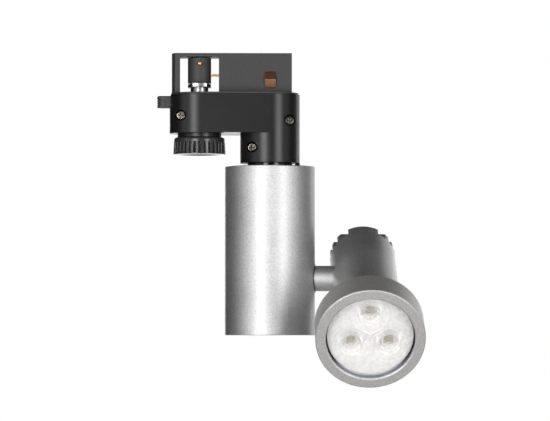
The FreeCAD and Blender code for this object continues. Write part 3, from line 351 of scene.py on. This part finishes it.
def near_led(s):
    """Distance in the lens plane to the nearest light source axis, in metres."""
    parts = s.add("ShaderNodeSeparateXYZ", {0: s.in_head()}).outputs
    nearest = None
    for lx, ly in LED_SPOTS:
        dx = s.math("SUBTRACT", parts[0], lx * MM)
        dy = s.math("SUBTRACT", parts[1], ly * MM)
        away = s.length(dx, dy)
        nearest = away if nearest is None else s.math("MINIMUM", nearest, away)
    return nearest


WAVE_PITCH = 2.3 * MM
WAVE_PART = 0.2
SPECK_PART = 0.8
CLEAR_R = 4.4 * MM
HAZY_R = 5.8 * MM
LEAST_HAZE = 0.1
MOST_HAZE = 0.5
LENS_IOR = 1.49
SEE_THROUGH_IOR = 1.02
SHINE_PART = 0.6
SHADOW_LIGHT = 0.76


def milk_colour(s, near):
    """Milky white with faint moulding waves around the light sources and fine specks."""
    waves = s.math("SINE", s.math("MULTIPLY", near, 2 * math.pi / WAVE_PITCH))
    specks = s.noise(s.place(), 420, 3.0, 0.65)
    waved = s.remap(waves, -1, 1, 0, WAVE_PART)
    specked = s.remap(specks, 0.35, 0.65, 0, SPECK_PART)
    return s.mix(s.math("ADD", waved, specked), grey(0.66, 0.012), grey(0.91, 0.012))


def moulded_lens():
    """Clear moulded plastic: see-through, with a milky haze away from the light sources."""
    s = Shader("clear_lens")
    ripple = s.noise(s.place(), 320, 3.0)
    normal = s.bump(ripple, 0.12, 0.06 * MM)
    near = near_led(s)
    haze = s.add("ShaderNodeBsdfDiffuse", {"Color": milk_colour(s, near), "Normal": normal})
    clear = s.add("ShaderNodeBsdfRefraction", {
        "Color": grey(0.95, 0.006), "IOR": SEE_THROUGH_IOR, "Roughness": 0.03,
    })
    shine = s.add("ShaderNodeBsdfGlossy", {"Color": grey(1), "Roughness": 0.08, "Normal": normal})
    share = s.remap(near, CLEAR_R, HAZY_R, LEAST_HAZE, MOST_HAZE)
    body = s.add("ShaderNodeMixShader", {0: share, 1: clear, 2: haze})
    fresnel = s.add("ShaderNodeFresnel", {"IOR": LENS_IOR, "Normal": normal})
    mirrored = s.math("MULTIPLY", fresnel, SHINE_PART)
    lit = s.add("ShaderNodeMixShader", {0: mirrored, 1: body, 2: shine})
    through = s.add("ShaderNodeBsdfTransparent", {"Color": grey(SHADOW_LIGHT)})
    rays = s.add("ShaderNodeLightPath")
    either = s.add("ShaderNodeMixShader", {0: rays.outputs["Is Shadow Ray"], 1: lit, 2: through})
    s.show(either)
    return s.material


def clear_dome():
    """Clear silicone dome over an LED chip."""
    s = Shader("led_dome")
    ripple = s.noise(s.place(), 900, 2.0)
    return s.finish({
        "Base Color": (1.0, 0.99, 0.96),
        "Roughness": 0.02,
        "IOR": 1.08,
        "Transmission Weight": 1.0,
        "Normal": s.bump(ripple, 0.05, 0.03 * MM),
    })


lens_clear = moulded_lens()
dome_clear = clear_dome()


def phosphor_finish():
    """Beige phosphor with fine grain."""
    s = Shader("led_phosphor")
    grain = s.noise(s.place(), 5000, 2.0)
    return s.finish({
        "Base Color": s.mix(s.spread(grain, 0, 1), (0.34, 0.30, 0.22), (0.46, 0.41, 0.31)),
        "Roughness": 0.55,
        "Normal": s.bump(grain, 0.2, 0.03 * MM),
    })


phosphor = phosphor_finish()


def wire_finish(name, sleeves):
    """Glossy sleeve whose colour differs from wire to wire."""
    s = Shader(name)
    pick = s.add("ShaderNodeNewGeometry").outputs["Random Per Island"]
    ramp = s.add("ShaderNodeValToRGB", {0: pick})
    ramp.color_ramp.interpolation = "CONSTANT"
    stops = ramp.color_ramp.elements
    while len(stops) < len(sleeves):
        stops.new(0.5)
    for k, colour in enumerate(sleeves):
        stops[k].position = k / len(sleeves)
        stops[k].color = (*colour, 1)
    grain = s.noise(s.place(), 900, 2.0)
    return s.finish({
        "Base Color": ramp.outputs[0],
        "Roughness": s.spread(grain, 0.35, 0.45),
        "Normal": s.bump(grain, 0.1, GRAIN_DEPTH),
    })


mains_wire = wire_finish("wire_mains", [(0.12, 0.04, 0.015), (0.02, 0.06, 0.3), (0.15, 0.3, 0.03)])
lamp_wire = wire_finish("wire_lamp", [(0.4, 0.01, 0.01), (0.01, 0.01, 0.01)])

FINISH = {
    adapter_black: ["housing_front", "housing_rear"],
    lever_black: ["lock_lever"],
    knob_black: ["selector_knob"],
    collar_black: ["pan_collar", "arm_bush"],
    insulator: ["contact_carrier", "contact_rotor", "selector_shaft"],
    copper: ["neutral_contact", "earth_contacts", "phase_contacts"],
    silver: ["can_tube", "can_top_cap", "can_bottom_cap"],
    silver_arm_lit: ["tilt_arm"],
    silver_head_lit: ["head_barrel"],
    silver_ring: ["head_collar"],
    screw_steel: ["housing_screws"],
    zinc: [
        "pan_nipple", "nipple_nut", "pan_lock_nut", "cap_screws",
        "bottom_cap_screw", "bracket_screws", "case_screws", "driver_bracket",
        "pivot_block_screws", "tilt_nut", "arm_nut",
    ],
    spring: [
        "pan_spring_washer", "lock_sleeve", "lock_wings", "pan_stop_pin", "tilt_stop_pins",
        "tilt_stop_washer", "tilt_spring_washer", "collar_grub_screw",
    ],
    aluminium: ["pivot_block", "heat_spreader"],
    polymer: ["pan_friction_washer", "tilt_friction_washer", "terminal_block"],
    white_plastic: ["driver_case", "driver_lid"],
    holder_white: ["lens_holder"],
    board_white: ["led_board"],
    board_green: ["driver_board"],
    ceramic: ["led_packages"],
    dome_clear: ["led_domes"],
    lens_clear: ["triple_lens"],
    soft_pad: ["thermal_pad"],
    gasket: ["lens_gasket"],
    capacitor: ["driver_capacitors"],
    transformer: ["driver_transformer"],
    mains_wire: ["adapter_wires", "driver_input_wires"],
    lamp_wire: ["lamp_wires", "head_wires"],
}

for finish, names in FINISH.items():
    for name in names:
        mesh = nodes[name].data
        mesh.materials.clear()
        mesh.materials.append(finish)

unfinished = set(nodes) - {name for names in FINISH.values() for name in names}
if unfinished:
    raise RuntimeError(f"nodes without a finish: {sorted(unfinished)}")


# ------------------------------------------------------------------ pieces beyond the CAD


def piece(name, mesh, finish, body, smooth=True):
    """New object from a bmesh in row-frame metres, riding on a body."""
    data = bpy.data.meshes.new(name)
    mesh.to_mesh(data)
    mesh.free()
    data.materials.append(finish)
    for polygon in data.polygons:
        polygon.use_smooth = smooth
    made = bpy.data.objects.new(name, data)
    bpy.context.scene.collection.objects.link(made)
    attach(made, body)
    return made


# Lens dimensions in millimetres, heights measured forward from the tilt pivot.
LENS_R = 25.9
LENS_FRONT = 67.9
LENS_REAR = 66.1
CONE_REAR = 60.0
LENS_RINGS = 84
LENS_SPOKES = 216
FLAT_RIM_R = 24.6
FACE_SINK = 0.2
CUP_R = 5.7
CUP_DEPTH = 1.7
DIMPLE_R = 2.3
DIMPLE_DEPTH = 0.5
STEP_WIDTH = 0.1
ARC_R = 11.3
ARC_HEIGHT = 0.12
SEAM_DEPTH = 0.3
SEAM_OFFSET = 0.9
SEAM_END_R = 8.5
LINE_WIDTH = 0.3
HOLLOW_R = 2.6
HOLLOW_DEPTH = 2.8
HOLLOW_BULGE = 0.25
CONE_TIP_R = 4.4
CONE_FLARE_R = 11.0
CONE_CURVE = 0.7


def step_down(distance, edge):
    """Smooth step from 1 inside an edge to 0 outside it."""
    return 1 / (1 + math.exp((distance - edge) / STEP_WIDTH))


def line(distance, middle):
    """Smooth ridge of height 1 around a middle distance."""
    return math.exp(-(((distance - middle) / LINE_WIDTH) ** 2))


def lens_front(x, y):
    """Front surface of the lens: a round recess per light source, fine arcs and short seams."""
    near = sorted(math.hypot(x - cx, y - cy) for cx, cy in LED_SPOTS)
    d, seam = near[0], (near[1] - near[0]) / 2
    r = math.hypot(x, y)
    if r > FLAT_RIM_R:
        return LENS_FRONT
    z = LENS_FRONT - FACE_SINK
    z -= CUP_DEPTH * step_down(d, CUP_R)
    z -= DIMPLE_DEPTH * step_down(d, DIMPLE_R)
    z += ARC_HEIGHT * line(d, ARC_R)
    z -= SEAM_DEPTH * line(seam, SEAM_OFFSET) / (1 + math.exp(r - SEAM_END_R))
    return z


def lens_back(x, y):
    """Rear surface of the lens: three collimator cones, each hollowed over its LED."""
    d = min(math.hypot(x - cx, y - cy) for cx, cy in LED_SPOTS)
    if d < HOLLOW_R:
        return CONE_REAR + HOLLOW_DEPTH - HOLLOW_BULGE * (d / HOLLOW_R) ** 2
    if d < CONE_TIP_R:
        return CONE_REAR
    rise = min(1.0, (d - CONE_TIP_R) / (CONE_FLARE_R - CONE_TIP_R))
    return CONE_REAR + (LENS_REAR - CONE_REAR) * rise**CONE_CURVE


def head_vertex(mesh, x, y, z):
    """New vertex at lamp-head coordinates in millimetres."""
    return mesh.verts.new(HEAD @ (Vector((x, y, z)) * MM))


def lens_sheet(mesh, height, rim):
    """Middle vertex and rings of vertices of one lens surface, ending at a flat rim."""
    middle = head_vertex(mesh, 0, 0, height(0, 0))
    rings = []
    for i in range(1, LENS_RINGS + 1):
        r = LENS_R * i / LENS_RINGS
        row = []
        for k in range(LENS_SPOKES):
            a = 2 * math.pi * k / LENS_SPOKES
            x, y = r * math.cos(a), r * math.sin(a)
            z = height(x, y) if i < LENS_RINGS else rim
            row.append(head_vertex(mesh, x, y, z))
        rings.append(row)
    return middle, rings


def skin_sheet(mesh, middle, rings, flip):
    """Faces of one lens surface."""
    for k in range(LENS_SPOKES):
        nxt = (k + 1) % LENS_SPOKES
        corners = [middle, rings[0][k], rings[0][nxt]]
        mesh.faces.new(corners[::-1] if flip else corners)
        for inner, outer in zip(rings, rings[1:]):
            corners = [inner[k], outer[k], outer[nxt], inner[nxt]]
            mesh.faces.new(corners[::-1] if flip else corners)


def lens_mesh():
    """Closed polar grid of the lens in row-frame metres."""
    mesh = bmesh.new()
    front = lens_sheet(mesh, lens_front, LENS_FRONT)
    back = lens_sheet(mesh, lens_back, LENS_REAR)
    skin_sheet(mesh, *front, flip=False)
    skin_sheet(mesh, *back, flip=True)
    front_rim, back_rim = front[1][-1], back[1][-1]
    for k in range(LENS_SPOKES):
        nxt = (k + 1) % LENS_SPOKES
        mesh.faces.new([front_rim[k], back_rim[k], back_rim[nxt], front_rim[nxt]])
    return mesh


lens = piece("triple_lens_moulded", lens_mesh(), lens_clear, "lamp_head")
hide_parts("triple_lens")


CHIP_HALF = 1.75
CHIP_CORNER_R = 0.7
CHIP_CORNER_STEPS = 5
CHIP_REAR = 59.3
CHIP_FRONT = 59.62
CHIP_EDGE = 0.05
CHIP_TOP_SCALE = 0.94


def chip_outline():
    """Corners of a square with rounded corners, in millimetres around its middle."""
    outline = []
    inset = CHIP_HALF - CHIP_CORNER_R
    for quarter in range(4):
        cx = inset * (1 if quarter in (0, 3) else -1)
        cy = inset * (1 if quarter in (0, 1) else -1)
        for s in range(CHIP_CORNER_STEPS + 1):
            a = math.pi / 2 * (quarter + s / CHIP_CORNER_STEPS)
            outline.append((cx + CHIP_CORNER_R * math.cos(a), cy + CHIP_CORNER_R * math.sin(a)))
    return outline


def chip_mesh():
    """Three thin square phosphor chips with rounded corners on the LED packages."""
    mesh = bmesh.new()
    outline = chip_outline()
    count = len(outline)
    turn_cos, turn_sin = math.cos(LED_TURN), math.sin(LED_TURN)
    heights = ((CHIP_REAR, 1.0), (CHIP_FRONT - CHIP_EDGE, 1.0), (CHIP_FRONT, CHIP_TOP_SCALE))
    for lx, ly in LED_SPOTS:
        levels = []
        for z, grow in heights:
            row = []
            for px, py in outline:
                x = lx + grow * (px * turn_cos - py * turn_sin)
                y = ly + grow * (px * turn_sin + py * turn_cos)
                row.append(head_vertex(mesh, x, y, z))
            levels.append(row)
        for lower, upper in zip(levels, levels[1:]):
            for k in range(count):
                nxt = (k + 1) % count
                mesh.faces.new([lower[k], lower[nxt], upper[nxt], upper[k]])
        mesh.faces.new(levels[-1])
        mesh.faces.new(levels[0][::-1])
    return mesh


chips = piece("led_chips", chip_mesh(), phosphor, "lamp_head", smooth=False)


# ------------------------------------------------------------------ studio

FLOOR_Z = -0.62
FLOOR_R = 9.0
FLOOR_SIDES = 96
FLOOR_GLOW = 0.55


def floor_mesh():
    """Large round floor."""
    mesh = bmesh.new()
    bmesh.ops.create_circle(mesh, cap_ends=True, radius=FLOOR_R, segments=FLOOR_SIDES)
    bmesh.ops.translate(mesh, verts=mesh.verts, vec=(0, 0, FLOOR_Z))
    return mesh


def floor_finish():
    """Pale matt floor, evenly lit, that is only there when seen from above."""
    s = Shader("studio_floor")
    tone = s.noise(s.place(), 3.0, 2.0)
    body = s.add("ShaderNodeBsdfPrincipled", {
        "Base Color": s.mix(tone, grey(0.80), grey(0.84)),
        "Roughness": 0.7,
        "Emission Color": grey(1),
        "Emission Strength": FLOOR_GLOW,
    })
    clear = s.add("ShaderNodeBsdfTransparent")
    back = s.add("ShaderNodeNewGeometry").outputs["Backfacing"]
    s.show(s.add("ShaderNodeMixShader", {0: back, 1: body, 2: clear}))
    return s.material


def add_floor():
    """The floor, seen by the camera but not mirrored in the object."""
    data = bpy.data.meshes.new("studio_floor")
    mesh = floor_mesh()
    mesh.to_mesh(data)
    mesh.free()
    data.materials.append(floor_finish())
    floor = bpy.data.objects.new("studio_floor", data)
    bpy.context.scene.collection.objects.link(floor)
    floor.visible_glossy = False
    floor.visible_diffuse = False


add_floor()

LIGHT_TARGET = Vector((0.015, 0.0, -0.09))
LIGHT_DISTANCE = 0.8


def softbox(name, azimuth, elevation, half_width, half_height, glow):
    """Rectangular soft light seen from the object under the given angles, in degrees.

    Azimuth 0 is the camera's side, positive to the right; glow is the light's own brightness.
    """
    width = 2 * LIGHT_DISTANCE * math.tan(math.radians(half_width))
    height = 2 * LIGHT_DISTANCE * math.tan(math.radians(half_height))
    a, e = math.radians(azimuth), math.radians(elevation)
    back = Vector((math.sin(a) * math.cos(e), -math.cos(a) * math.cos(e), math.sin(e)))
    light = bpy.data.lights.new(name, "AREA")
    light.shape = "RECTANGLE"
    light.size, light.size_y = width, height
    light.energy = glow * math.pi * width * height
    made = bpy.data.objects.new(name, light)
    made.location = LIGHT_TARGET + back * LIGHT_DISTANCE
    made.rotation_mode = "QUATERNION"
    made.rotation_quaternion = back.to_track_quat("Z", "Y")
    made.visible_camera = False
    bpy.context.scene.collection.objects.link(made)


# Name, azimuth, elevation, half width and half height in degrees, glow.
SOFTBOXES = (
    ("key_left", -24.9, 0, 9.8, 21, 8.0),
    ("key_right", 31.3, 0, 9.4, 18, 7.5),
    ("fill_left", -61, 0, 12.0, 30, 1.0),
    ("fill_right", 66, 0, 10.0, 30, 0.7),
    ("back_right", 134.5, 5, 6.5, 30, 2.4),
)
for settings in SOFTBOXES:
    softbox(*settings)

ROOM_GLOW = 0.02
GROUND_GLOW = 0.3
GROUND_EDGE = -0.25
GROUND_FULL = -0.6
WALL_GLOW = 2.0
WALL_AZIMUTH = 176.0
WALL_INNER = 20.0
WALL_OUTER = 27.0


def studio_world():
    """White behind the object for the camera; a dim room with a bright far wall for the rest."""
    world = bpy.data.worlds.new("studio")
    n = Nodes(world, "ShaderNodeOutputWorld")
    direction = n.add("ShaderNodeTexCoord").outputs["Generated"]
    side = math.radians(WALL_AZIMUTH)
    facing = n.add(
        "ShaderNodeVectorMath",
        {0: direction, 1: (math.sin(side), -math.cos(side), 0)},
        operation="DOT_PRODUCT",
    ).outputs["Value"]
    outer, inner = math.cos(math.radians(WALL_OUTER)), math.cos(math.radians(WALL_INNER))
    wall = n.remap(facing, outer, inner, 0.0, WALL_GLOW, "SMOOTHSTEP")
    height = n.add("ShaderNodeSeparateXYZ", {0: direction}).outputs[2]
    ground = n.remap(height, GROUND_EDGE, GROUND_FULL, ROOM_GLOW, GROUND_GLOW, "SMOOTHSTEP")
    room = n.add("ShaderNodeBackground", {0: grey(1), 1: n.math("ADD", wall, ground)})
    seen = n.add("ShaderNodeBackground", {0: grey(1)})
    camera_ray = n.add("ShaderNodeLightPath").outputs["Is Camera Ray"]
    n.show(n.add("ShaderNodeMixShader", {0: camera_ray, 1: room, 2: seen}))
    bpy.context.scene.world = world


studio_world()
bpy.context.scene.view_settings.view_transform = "Standard"
bpy.context.scene.view_settings.look = "None"

# ------------------------------------------------------------------ camera

CAMERA_AIM_X = 0.0028
CAMERA_DISTANCE = 1.89
CAMERA_HEIGHT = -0.1344
CAMERA_YAW = 1.41
CAMERA_PITCH = 2.1
CAMERA_SENSOR = 36.0
CAMERA_FOCAL = 222.7
CLIP_NEAR = 0.05
CLIP_FAR = 50.0


def add_camera():
    """Long lens a little below the middle of the object, looking slightly up."""
    data = bpy.data.cameras.new("camera")
    data.sensor_width = CAMERA_SENSOR
    data.lens = CAMERA_FOCAL
    data.clip_start, data.clip_end = CLIP_NEAR, CLIP_FAR
    camera = bpy.data.objects.new("camera", data)
    yaw = math.radians(CAMERA_YAW)
    camera.location = (
        CAMERA_AIM_X - CAMERA_DISTANCE * math.sin(yaw),
        -CAMERA_DISTANCE * math.cos(yaw),
        CAMERA_HEIGHT,
    )
    camera.rotation_euler = (math.radians(90 + CAMERA_PITCH), 0.0, -yaw)
    bpy.context.scene.collection.objects.link(camera)
    bpy.context.scene.camera = camera


add_camera()
